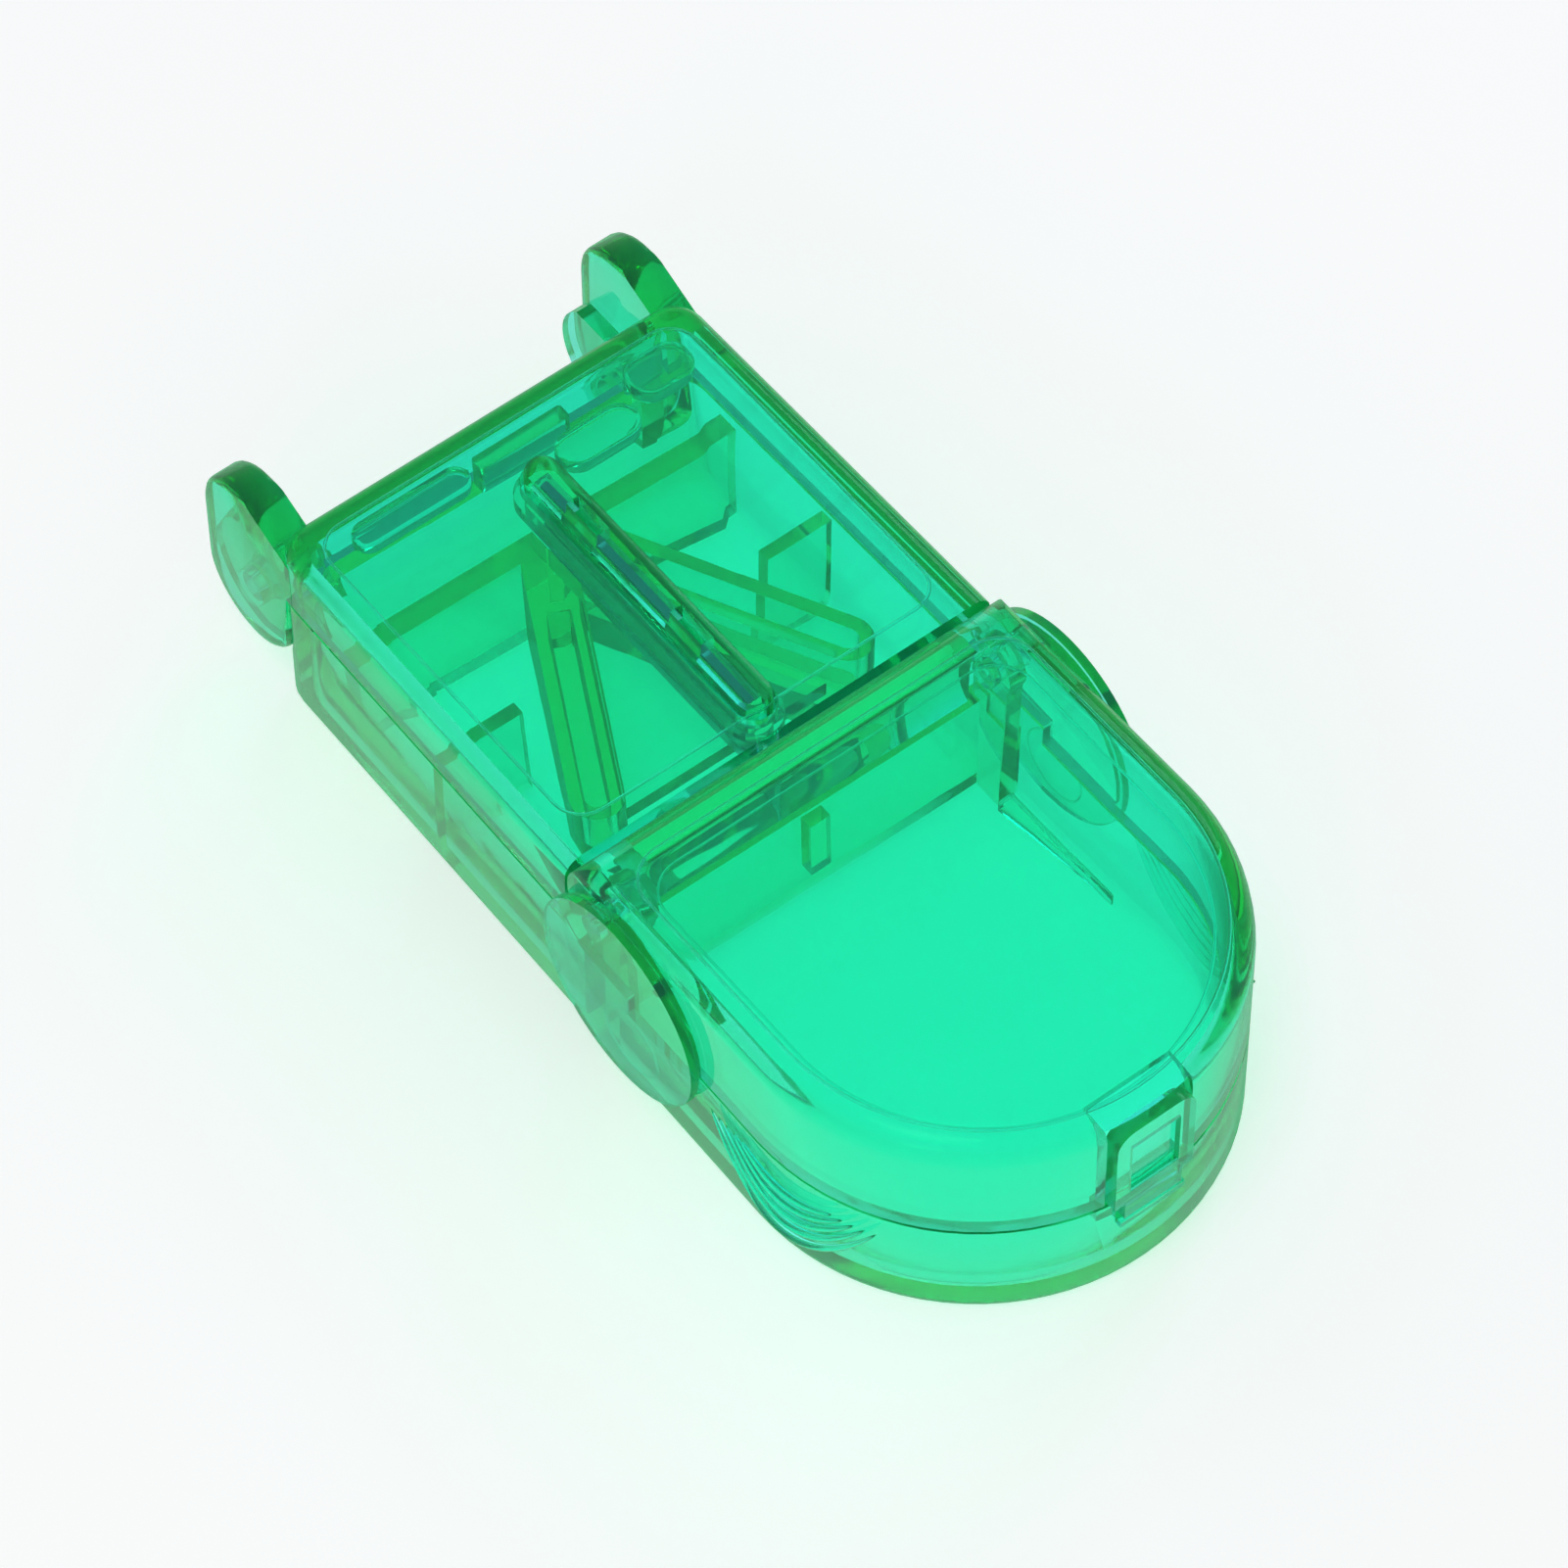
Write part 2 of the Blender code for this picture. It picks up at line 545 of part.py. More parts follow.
def make_storage_lid(mat, origin):
    lid = prism("storage_lid", body_outline(0.0, DRUM_Y + DRUM_RADIUS + GAP, 0.0), SEAM_FRONT - WALL, HEIGHT)
    behind = DRUM_Y + DRUM_RADIUS
    round_edges(
        lid, lambda a, b: at_height(HEIGHT)(a, b) and min(a.y, b.y) < behind, LID_EDGE_FRONT, 5
    )
    combine(lid, "INTERSECT", prism("lid_side", lid_side_profile(), -FAR, FAR, axis="X"))

    beam_face = behind - LID_BEAM
    corner = arc(beam_face - WALL, HEIGHT - 2 * WALL, WALL, 90, 0, 10)
    profile = (
        [(-FAR, SEAM_FRONT - 2 * WALL), (-FAR, HEIGHT - WALL)] + corner + [(beam_face, SEAM_FRONT - 2 * WALL)]
    )
    hollow = prism("lid_hollow", body_outline(WALL, behind + WALL, 0.0), SEAM_FRONT - 3 * WALL, HEIGHT - WALL)
    round_edges(hollow, lambda a, b: at_height(HEIGHT - WALL)(a, b) and min(a.y, b.y) < behind, WALL / 2, 2)
    combine(hollow, "INTERSECT", prism("lid_hollow_side", profile, -FAR, FAR, axis="X"))
    combine(lid, "DIFFERENCE", hollow)

    hinge_out = half_width(DRUM_Y + POST_RADIUS) - WALL - GAP
    hinge_in = hinge_out - POST_THICK

    def post_room(side, tag):
        low, high = span(side, hinge_in - HEAD_THICK - 2 * GAP, hinge_out + GAP / 2)
        return box(
            f"post_room_{tag}",
            (low, DRUM_Y - DRUM_RADIUS, SEAM_FRONT),
            (high, DRUM_Y + DRUM_RADIUS + GAP, DRUM_Z + POST_RADIUS + GAP / 2),
        )

    combine(lid, "DIFFERENCE", *both_sides(post_room))

    def cheek_link(side, tag):
        """The thickness between the disc and the lid's own side, only where the lid has a side."""
        link = prism(
            f"cheek_link_{tag}",
            arc(DISC_Y, DISC_Z, DISC_RADIUS - GAP, 0, 350, 35),
            *span(side, half_width(0.0) - WALL / 2, DISC_INSIDE + DISC_THICK / 2),
            axis="X",
        )
        lower = [(-FAR, LID_BOTTOM), (LID_STEP_Y, LID_BOTTOM), (LID_STEP_Y, CUTTER_BOTTOM)]
        drum = arc(DRUM_Y, DRUM_Z, DRUM_RADIUS - GAP / 2, -90, 90, 32)
        side_view = lower + drum + [(DRUM_Y, HEIGHT - GAP), (-FAR, HEIGHT - GAP)]
        return combine(link, "INTERSECT", prism(f"cheek_side_{tag}", side_view, -FAR, FAR, axis="X"))

    def disc(side, tag):
        low, high = span(side, DISC_INSIDE, WIDTH / 2)
        return rod(f"cheek_disc_{tag}", DISC_RADIUS, low, high, DISC_Y, DISC_Z, sides=64)

    combine(lid, "UNION", *both_sides(cheek_link), *both_sides(disc))

    def cheek_bore(side, tag):
        low, high = span(side, hinge_out, half_width(DRUM_Y) + DISC_THICK / 2)
        return rod(f"cheek_bore_{tag}", FRONT_PIN_RADIUS + GAP, low, high, DRUM_Y, DRUM_Z)

    combine(lid, "DIFFERENCE", *both_sides(cheek_bore))
    room_half = LATCH_HALF + GAP
    window = box("latch_window", (-room_half, -FAR, SEAM_FRONT - WALL), (room_half, FRONT + 2 * WALL, LATCH_TOP + GAP))
    combine(lid, "DIFFERENCE", window)
    return finish(lid, mat, origin)


def make_latch(mat, origin, parent):
    r = LATCH_CORNER
    front = -LENGTH / 2
    low = LID_BOTTOM
    right = arc(LATCH_HALF - r, LATCH_TOP - r, r, 0, 90, 6)
    face = [(-LATCH_HALF, low), (LATCH_HALF, low)] + right + [(-x, z) for x, z in reversed(right)]
    latch = prism("front_latch", face, front, front + LATCH_THICK, axis="Y")
    tongue = box(
        "latch_tongue", (-TONGUE_HALF, front, low - TONGUE_DROP), (TONGUE_HALF, front + TONGUE_THICK, low + WALL)
    )
    lip = box(
        "latch_lip",
        (-TONGUE_HALF, front + TONGUE_THICK / 2, low - TONGUE_DROP),
        (TONGUE_HALF, front + TONGUE_THICK + LIP, low - TONGUE_DROP + LEDGE),
    )
    frame = LATCH_HALF - LATCH_FRAME
    dish = box(
        "latch_dish",
        (-frame, front - WALL, low + LATCH_FRAME),
        (frame, front + LATCH_DISH, LATCH_TOP - LATCH_FRAME * 1.5),
    )
    combine(latch, "UNION", tongue, lip)
    combine(latch, "DIFFERENCE", dish)
    return finish(latch, mat, origin, parent)


def make_pin(name, mat, radius, head, near, far, y, z):
    """A headed hinge pin along X; near is the inner end, under the head."""
    low, high = min(near, far), max(near, far)
    pin = rod(name, radius, low, high, y, z, sides=24)
    side = 1 if far > near else -1
    cap_low, cap_high = sorted((near - side * HEAD_THICK, near + side * HEAD_THICK / 2))
    cap = rod(f"{name}_head", head, cap_low, cap_high, y, z, sides=24)
    combine(pin, "UNION", cap)
    return finish(pin, mat, (0.0, y, z))


def main():
    for obj in list(bpy.data.objects):
        bpy.data.objects.remove(obj)
    bpy.context.scene.collection.children.link(MODEL)
    bpy.context.scene.collection.children.link(CUTTERS)
    CUTTERS.hide_render = True

    green = material("clear_green", (0.03, 0.62, 0.31), 0.12, alpha=0.55)
    deep_green = material("clear_green_lid", (0.04, 0.66, 0.28), 0.1, alpha=0.5)
    cradle_green = material("clear_green_cradle", (0.05, 0.68, 0.33), 0.15, alpha=0.55)
    holder_green = material("clear_green_holder", (0.04, 0.5, 0.25), 0.15, alpha=0.7)
    latch_green = material("clear_green_latch", (0.06, 0.55, 0.18), 0.12, alpha=0.65)
    steel = material("blade_steel", (0.42, 0.48, 0.46), 0.3, metallic=1.0)
    pin_green = material("hinge_pin", (0.05, 0.45, 0.2), 0.25, alpha=0.9)

    rear_axis = (0.0, EAR_PIVOT_Y, EAR_PIVOT_Z)
    front_axis = (0.0, DRUM_Y, DRUM_Z)
    make_base_tray(green)
    make_cradle(cradle_green)
    cutter_lid = make_cutter_lid(deep_green, rear_axis)
    make_blade_holder(holder_green, rear_axis, cutter_lid)
    make_blade(steel, rear_axis, cutter_lid)
    storage_lid = make_storage_lid(deep_green, front_axis)
    latch_axis = (0.0, -LENGTH / 2 + LATCH_THICK / 2, LATCH_TOP - LATCH_AXIS_DROP)
    make_latch(latch_green, latch_axis, storage_lid)

    hinge_in = half_width(DRUM_Y + POST_RADIUS) - WALL - GAP - POST_THICK
    for side, tag in ((-1, "left"), (1, "right")):
        make_pin(
            f"cutter_hinge_pin_{tag}",
            pin_green,
            REAR_PIN_RADIUS,
            REAR_PIN_HEAD,
            side * (LUG_OUTSIDE - LUG_THICK - GAP),
            side * (HALF_REAR - EAR_THICK / 4 - GAP),
            EAR_PIVOT_Y,
            EAR_PIVOT_Z,
        )
        make_pin(
            f"storage_hinge_pin_{tag}",
            pin_green,
            FRONT_PIN_RADIUS,
            FRONT_PIN_HEAD,
            side * (hinge_in - GAP),
            side * (half_width(DRUM_Y) + DISC_THICK / 2 - GAP),
            DRUM_Y,
            DRUM_Z,
        )


main()
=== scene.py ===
# %% [markdown]
# # A clear green pill splitter
# The object is a pocket box moulded in tinted clear plastic. One end cuts a tablet, the other stores it. This lesson
# dresses the imported model: it gives every part its real finish and adds the small moulded details.
#
# The imported model comes in first and is never moved. Everything else takes its place from it, in metres, so each new
# piece fits with no guessing.

# %% Load the imported model
import json
import math

import bmesh
import bpy
from mathutils import Matrix, Vector

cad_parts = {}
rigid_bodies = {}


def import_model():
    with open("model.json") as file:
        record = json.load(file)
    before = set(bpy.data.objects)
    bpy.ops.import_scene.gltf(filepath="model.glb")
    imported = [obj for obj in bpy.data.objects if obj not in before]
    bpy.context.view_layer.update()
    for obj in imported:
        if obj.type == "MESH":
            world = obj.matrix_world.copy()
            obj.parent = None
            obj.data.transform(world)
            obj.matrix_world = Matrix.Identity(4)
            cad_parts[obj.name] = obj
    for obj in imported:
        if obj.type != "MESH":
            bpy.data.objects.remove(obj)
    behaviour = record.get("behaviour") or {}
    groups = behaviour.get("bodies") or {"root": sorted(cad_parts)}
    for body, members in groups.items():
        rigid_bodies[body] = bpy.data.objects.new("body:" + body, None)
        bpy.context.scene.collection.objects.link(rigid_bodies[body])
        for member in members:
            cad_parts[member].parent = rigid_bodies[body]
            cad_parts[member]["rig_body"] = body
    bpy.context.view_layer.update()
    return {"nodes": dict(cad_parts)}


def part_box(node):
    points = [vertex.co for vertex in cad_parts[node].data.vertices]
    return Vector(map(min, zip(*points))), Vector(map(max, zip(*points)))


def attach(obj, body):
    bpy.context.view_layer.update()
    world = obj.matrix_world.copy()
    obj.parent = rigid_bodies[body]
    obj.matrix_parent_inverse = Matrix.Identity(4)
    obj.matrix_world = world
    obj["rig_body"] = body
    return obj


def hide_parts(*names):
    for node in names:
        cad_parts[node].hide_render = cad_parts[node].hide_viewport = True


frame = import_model()
MM = 0.001

# %% [markdown]
# ## Camera
# A small object looks right through a long lens from far off, because parallel edges then stay nearly parallel. The
# camera here stands over half a metre away, up and to the left of the round end. It is placed by its angle round the
# object and its height above the table, because Euler angles are harder to read than this.

# %% Camera
AZIMUTH, ELEVATION, ROLL = math.radians(-37.31), math.radians(55.23), math.radians(-0.61)
DISTANCE = 569.1 * MM
LENS = 186.1
SIGHT = Vector((0, 0, 10 * MM))
AIM_RIGHT, AIM_UP = 1.0 * MM, -0.19 * MM


def camera_axes(azimuth, elevation, roll):
    back = Vector(
        (
            math.sin(azimuth) * math.cos(elevation),
            -math.cos(azimuth) * math.cos(elevation),
            math.sin(elevation),
        )
    )
    right = Vector((math.cos(azimuth), math.sin(azimuth), 0))
    up = back.cross(right)
    right = right * math.cos(roll) + up * math.sin(roll)
    return right, back.cross(right), back


right, up, back = camera_axes(AZIMUTH, ELEVATION, ROLL)
camera = bpy.data.objects.new("camera", bpy.data.cameras.new("camera"))
bpy.context.scene.collection.objects.link(camera)
stand = SIGHT + back * DISTANCE
aim = SIGHT + right * AIM_RIGHT + up * AIM_UP
back = (stand - aim).normalized()
right = up.cross(back).normalized()
up = back.cross(right)
camera.matrix_world = Matrix.Translation(stand) @ Matrix((right, up, back)).transposed().to_4x4()
camera.data.lens = LENS
camera.data.clip_start, camera.data.clip_end = 10 * MM, 10
bpy.context.scene.camera = camera
print("camera stands at", [round(v, 3) for v in stand])

# %% [markdown]
# ## Table
# Clear tinted plastic shows what lies behind it, so it needs a bright pale table more than bright lamps. Most of its
# colour comes from light that goes down through the box, off the table and up again. The table is a plain white card
# with a little glow of its own, so that the floor stays pale right up to the box. A hair below the origin it can't
# flicker against the underside.

# %% Table
TABLE_SIZE, TABLE_CELLS = 3.0, 8
TABLE_DROP = 0.05 * MM
CARD_GREY = (0.90, 0.93)  # the card's darkest and palest grey
CARD_GLOW, CARD_GRAIN, CARD_ROUGH = 0.42, 30, 0.9


def node_tree(owner):
    owner.use_nodes = True
    owner.node_tree.nodes.clear()
    return owner.node_tree


def table_top():
    mesh = bpy.data.meshes.new("table")
    bm = bmesh.new()
    bmesh.ops.create_grid(bm, x_segments=TABLE_CELLS, y_segments=TABLE_CELLS, size=TABLE_SIZE / 2)
    bm.to_mesh(mesh)
    bm.free()
    table = bpy.data.objects.new("table", mesh)
    table.location.z = -TABLE_DROP
    bpy.context.scene.collection.objects.link(table)
    material = bpy.data.materials.new("white_card")
    tree = node_tree(material)
    out = tree.nodes.new("ShaderNodeOutputMaterial")
    shader = tree.nodes.new("ShaderNodeBsdfPrincipled")
    noise = tree.nodes.new("ShaderNodeTexNoise")
    noise.inputs["Scale"].default_value = CARD_GRAIN
    tint = tree.nodes.new("ShaderNodeMapRange")
    tint.inputs["To Min"].default_value, tint.inputs["To Max"].default_value = CARD_GREY
    tree.links.new(noise.outputs[0], tint.inputs[0])
    tree.links.new(tint.outputs[0], shader.inputs["Base Color"])
    shader.inputs["Roughness"].default_value = CARD_ROUGH
    shader.inputs["Emission Color"].default_value = (1, 1, 1, 1)
    shader.inputs["Emission Strength"].default_value = CARD_GLOW
    tree.links.new(shader.outputs[0], out.inputs[0])
    mesh.materials.append(material)
    return table


card = table_top()
print("table", round(card.dimensions.x, 2), "m wide")

# %% [markdown]
# ## Lamps
# One large soft lamp hangs overhead, and two smaller ones stand at the rear right and the front left. Their mirror
# images draw the thin bright lines along the rounded edges, and a big disc draws a softer line than a small one. Area
# lamps are the simplest way to choose that size. The one at the rear right is a little blue, like light from a window.

# %% Lamps
def soft_lamp(name, place, size, watts, colour):
    lamp = bpy.data.objects.new(name, bpy.data.lights.new(name, "AREA"))
    lamp.data.shape = "DISK"
    lamp.data.size = size
    lamp.data.energy = watts
    lamp.data.color = colour
    lamp.location = place
    lamp.rotation_euler = (-Vector(place)).to_track_quat("-Z", "Y").to_euler()
    bpy.context.scene.collection.objects.link(lamp)
    return lamp


for name, place, size, watts, colour in (
    ("overhead", (-0.25, -0.1, 0.9), 0.35, 1.25, (1, 1, 1)),
    ("rear_right", (0.7, 0.35, 0.5), 0.3, 1.0, (0.7, 0.85, 1)),
    ("front_left", (-0.7, -0.5, 0.45), 0.25, 0.45, (1, 1, 0.97)),
):
    lamp = soft_lamp(name, place, size, watts, colour)
    print(lamp.name, "stands", round(lamp.location.length, 2), "m from the box")

# %% [markdown]
# ## Pale room
# The flat lids mirror whatever is overhead, and a bright ceiling would lay a grey veil over them. The upright walls
# mirror the horizon, and a dark one would turn them black. So the room is bright at the horizon and fades to a dimmer
# ceiling. A ray has to pass many clear walls before it leaves the box, so the light is let through more walls than
# Blender's usual number, which would leave black patches.

# %% Pale room
ZENITH_LIGHT, HORIZON_LIGHT = 0.38, 0.85
FADED_AT = 0.75  # height on a ball of radius one
CLEAR_WALLS, MIRROR_TURNS, MATT_TURNS = 28, 6, 3


def pale_room():
    world = bpy.data.worlds.new("pale_room")
    tree = node_tree(world)
    out = tree.nodes.new("ShaderNodeOutputWorld")
    shade = tree.nodes.new("ShaderNodeBackground")
    place = tree.nodes.new("ShaderNodeTexCoord")
    height = tree.nodes.new("ShaderNodeSeparateXYZ")
    fade = tree.nodes.new("ShaderNodeMapRange")
    fade.inputs["From Max"].default_value = FADED_AT
    fade.inputs["To Min"].default_value = HORIZON_LIGHT
    fade.inputs["To Max"].default_value = ZENITH_LIGHT
    tree.links.new(place.outputs["Generated"], height.inputs[0])
    tree.links.new(height.outputs["Z"], fade.inputs[0])
    tree.links.new(fade.outputs[0], shade.inputs["Strength"])
    tree.links.new(shade.outputs[0], out.inputs[0])
    return world


scene = bpy.context.scene
scene.world = pale_room()
scene.view_settings.view_transform = "Standard"
scene.cycles.max_bounces = CLEAR_WALLS
scene.cycles.transmission_bounces = CLEAR_WALLS
scene.cycles.transparent_max_bounces = CLEAR_WALLS
scene.cycles.glossy_bounces = MIRROR_TURNS
scene.cycles.diffuse_bounces = MATT_TURNS
print("room", scene.world.name, "lets light through", CLEAR_WALLS, "walls")

# %% [markdown]
# ## Tinted clear plastic
# The dye is in the plastic and not on it. So most of the colour is absorbed inside: a thin wall looks teal, a thick
# one deep leaf green, and an edge seen end on the darkest. One material then gives every shade on the object, where a
# painted colour could give just one of them. The skin is lightly tinted too. On top of that, a wall seen at a slant
# gets a painted green rim: a matt green mixed in by the viewing angle, as painted shade for the longer way through the
# dye, and it covers the grey reflections there. Lamps shine straight through, so the box casts no hard black shadow.

# %% Tinted clear plastic
DYE_TAKES = 450  # how strongly a metre of plastic absorbs
DYE_LEAVES = (0.0, 0.935, 0.66, 1)
# Painted shade: the matt green that walls seen at a slant get, in place of their grey reflections.
PAINTED_RIM_SHADE = (0.06, 0.52, 0.20, 1)
PAINTED_RIM_FROM, PAINTED_RIM_SHARE = 0.56, 0.85  # where the painted rim shade starts, as one minus the cosine, and its most
SKIN_TINT = (0.28, 0.95, 0.95, 1)
MIRROR_TINT = (0.1, 0.8, 0.4, 1)
CLEARNESS, GLASS_BEND = 0.95, 1.3
RUB_SIZE, RUB_FROM, RUB_TO = 220, 0.45, 0.75  # faint rubbed patches, finer with a larger size
FLOW_SIZE = 120  # the slow waves that the mould leaves


def clear_plastic(name, waviness, haze):
    material = bpy.data.materials.new(name)
    tree = node_tree(material)
    out = tree.nodes.new("ShaderNodeOutputMaterial")
    shader = tree.nodes.new("ShaderNodeBsdfPrincipled")
    shader.inputs["Base Color"].default_value = SKIN_TINT
    shader.inputs["Transmission Weight"].default_value = CLEARNESS
    shader.inputs["IOR"].default_value = GLASS_BEND
    shader.inputs["Specular Tint"].default_value = MIRROR_TINT
    place = tree.nodes.new("ShaderNodeTexCoord")
    rub = tree.nodes.new("ShaderNodeTexNoise")
    rub.inputs["Scale"].default_value = RUB_SIZE
    rub.inputs["Detail"].default_value = 4
    tree.links.new(place.outputs["Object"], rub.inputs["Vector"])
    rough = tree.nodes.new("ShaderNodeMapRange")
    rough.inputs["From Min"].default_value = RUB_FROM
    rough.inputs["From Max"].default_value = RUB_TO
    rough.inputs["To Min"].default_value = haze
    rough.inputs["To Max"].default_value = haze * 3
    tree.links.new(rub.outputs[0], rough.inputs[0])
    tree.links.new(rough.outputs[0], shader.inputs["Roughness"])
    flow = tree.nodes.new("ShaderNodeTexNoise")
    flow.inputs["Scale"].default_value = FLOW_SIZE
    flow.inputs["Detail"].default_value = 2
    tree.links.new(place.outputs["Object"], flow.inputs["Vector"])
    bump = tree.nodes.new("ShaderNodeBump")
    bump.inputs["Strength"].default_value = 1
    bump.inputs["Distance"].default_value = waviness
    tree.links.new(flow.outputs[0], bump.inputs["Height"])
    tree.links.new(bump.outputs[0], shader.inputs["Normal"])
    dye = tree.nodes.new("ShaderNodeVolumeAbsorption")
    dye.inputs["Color"].default_value = DYE_LEAVES
    dye.inputs["Density"].default_value = DYE_TAKES
    # Painted shade: a matt green mixed in where a wall is seen at a slant, standing in for the darker edge of a longer
    # way through the dye.
    painted_rim = tree.nodes.new("ShaderNodeBsdfDiffuse")
    painted_rim.inputs["Color"].default_value = PAINTED_RIM_SHADE
    slope = tree.nodes.new("ShaderNodeLayerWeight")
    slope.inputs["Blend"].default_value = 0.5
    painted_rim_mask = tree.nodes.new("ShaderNodeMapRange")
    painted_rim_mask.inputs["From Min"].default_value = PAINTED_RIM_FROM
    painted_rim_mask.inputs["To Max"].default_value = PAINTED_RIM_SHARE
    tree.links.new(slope.outputs["Facing"], painted_rim_mask.inputs[0])
    with_painted_rim = tree.nodes.new("ShaderNodeMixShader")
    tree.links.new(painted_rim_mask.outputs[0], with_painted_rim.inputs[0])
    tree.links.new(shader.outputs[0], with_painted_rim.inputs[1])
    tree.links.new(painted_rim.outputs[0], with_painted_rim.inputs[2])
    lets_lamps_through = tree.nodes.new("ShaderNodeBsdfTransparent")
    path = tree.nodes.new("ShaderNodeLightPath")
    mix = tree.nodes.new("ShaderNodeMixShader")
    tree.links.new(path.outputs["Is Shadow Ray"], mix.inputs[0])
    tree.links.new(with_painted_rim.outputs[0], mix.inputs[1])
    tree.links.new(lets_lamps_through.outputs[0], mix.inputs[2])
    tree.links.new(mix.outputs[0], out.inputs["Surface"])
    tree.links.new(dye.outputs[0], out.inputs["Volume"])
    return material


WAVINESS, HAZE = 0.05 * MM, 0.02
green = clear_plastic("green_clear", WAVINESS, HAZE)
print("plastic", green.name, "has", len(green.node_tree.nodes), "nodes")

# %% [markdown]
# ## Blade steel
# The blade is a thin ground strip of dark steel. Grinding leaves fine lines that all run the same way, so the noise
# behind its roughness is stretched along one axis. Smooth metal would mirror the green walls like a looking glass.

# %% Blade steel
STEEL_GREY = (0.36, 0.37, 0.38, 1)
GRAIN_SIZE, GRAIN_STRETCH = 300, (1, 1, 40)
STEEL_SMOOTH, STEEL_ROUGH = 0.25, 0.45


def brushed_steel(name):
    material = bpy.data.materials.new(name)
    tree = node_tree(material)
    out = tree.nodes.new("ShaderNodeOutputMaterial")
    shader = tree.nodes.new("ShaderNodeBsdfPrincipled")
    shader.inputs["Metallic"].default_value = 1
    shader.inputs["Base Color"].default_value = STEEL_GREY
    place = tree.nodes.new("ShaderNodeTexCoord")
    stretch = tree.nodes.new("ShaderNodeMapping")
    stretch.inputs["Scale"].default_value = GRAIN_STRETCH
    grain = tree.nodes.new("ShaderNodeTexNoise")
    grain.inputs["Scale"].default_value = GRAIN_SIZE
    tree.links.new(place.outputs["Object"], stretch.inputs[0])
    tree.links.new(stretch.outputs[0], grain.inputs["Vector"])
    rough = tree.nodes.new("ShaderNodeMapRange")
    rough.inputs["To Min"].default_value = STEEL_SMOOTH
    rough.inputs["To Max"].default_value = STEEL_ROUGH
    tree.links.new(grain.outputs[0], rough.inputs[0])
    tree.links.new(rough.outputs[0], shader.inputs["Roughness"])
    tree.links.new(shader.outputs[0], out.inputs[0])
    return material


steel = brushed_steel("blade_steel")
print("steel", steel.name, "has", len(steel.node_tree.nodes), "nodes")

# %% [markdown]
# ## The moulded shells
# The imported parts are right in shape, but they come as loose flat triangles, and a clear round wall made of flats
# shows every one of them as a stripe. So each part is copied, its triangles are joined, and its curved faces are
# shaded smooth up to a fixed angle, which keeps the real edges crisp. The copy stands for the part.

# %% The moulded shells
JOINED = 0.001 * MM
CRISP = math.radians(33)


def smooth_copy(node_name, name, material):
    """A joined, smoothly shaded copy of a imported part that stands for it."""
    node = frame["nodes"][node_name]
    bm = bmesh.new()
    bm.from_mesh(node.data)
    bmesh.ops.remove_doubles(bm, verts=bm.verts, dist=JOINED)
    bmesh.ops.dissolve_degenerate(bm, dist=JOINED, edges=bm.edges)
    mesh = bpy.data.meshes.new(name)
    bm.to_mesh(mesh)
    bm.free()
    for layer in [a.name for a in mesh.attributes if a.name in ("custom_normal", "sharp_edge", "sharp_face")]:
        mesh.attributes.remove(mesh.attributes[layer])
    mesh.materials.clear()
    mesh.materials.append(material)
    mesh.shade_smooth()
    mesh.set_sharp_from_angle(angle=CRISP)
    piece = bpy.data.objects.new(name, mesh)
    bpy.context.scene.collection.objects.link(piece)
    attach(piece, node["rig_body"])
    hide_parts(node_name)
    return piece


for node_name, name, slot in (
    ("base_tray", "tray_shell", "tray_green"),
    ("pill_cradle", "cradle", "cradle_green"),
    ("cutter_lid", "cutting_lid_shell", "lid_green"),
    ("blade_holder", "blade_carrier", "lid_green"),
    ("storage_lid", "storage_lid_shell", "lid_green"),
    ("front_latch", "thumb_latch", "latch_green"),
    ("cutter_hinge_pin_left", "rear_pin_left", "pin_green"),
    ("cutter_hinge_pin_right", "rear_pin_right", "pin_green"),
    ("storage_hinge_pin_left", "arch_pin_left", "pin_green"),
    ("storage_hinge_pin_right", "arch_pin_right", "pin_green"),
):
    shell = smooth_copy(node_name, name, green)
    print(name, len(shell.data.polygons), "faces")
frame["nodes"]["blade"].data.materials.clear()
frame["nodes"]["blade"].data.materials.append(steel)

# %% [markdown]
# ## Plates
# Most small details are thin plates or beads on a larger wall. A plate is an outline pushed up by its thickness, with
# its edges bevelled, because a moulded edge is never sharp. It stands a hair off the wall that carries it, so that two
# clear bodies never share the same space.

# %% Plates
HAIR = 0.02 * MM
BEVELLED_ABOVE, CRISP_ABOVE = math.radians(40), math.radians(50)
BEVEL_STEPS = 3


def add_piece(name, mesh, body, material):
    piece = bpy.data.objects.new(name, mesh)
    bpy.context.scene.collection.objects.link(piece)
    mesh.materials.clear()
    mesh.materials.append(material)
    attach(piece, body)
    return piece


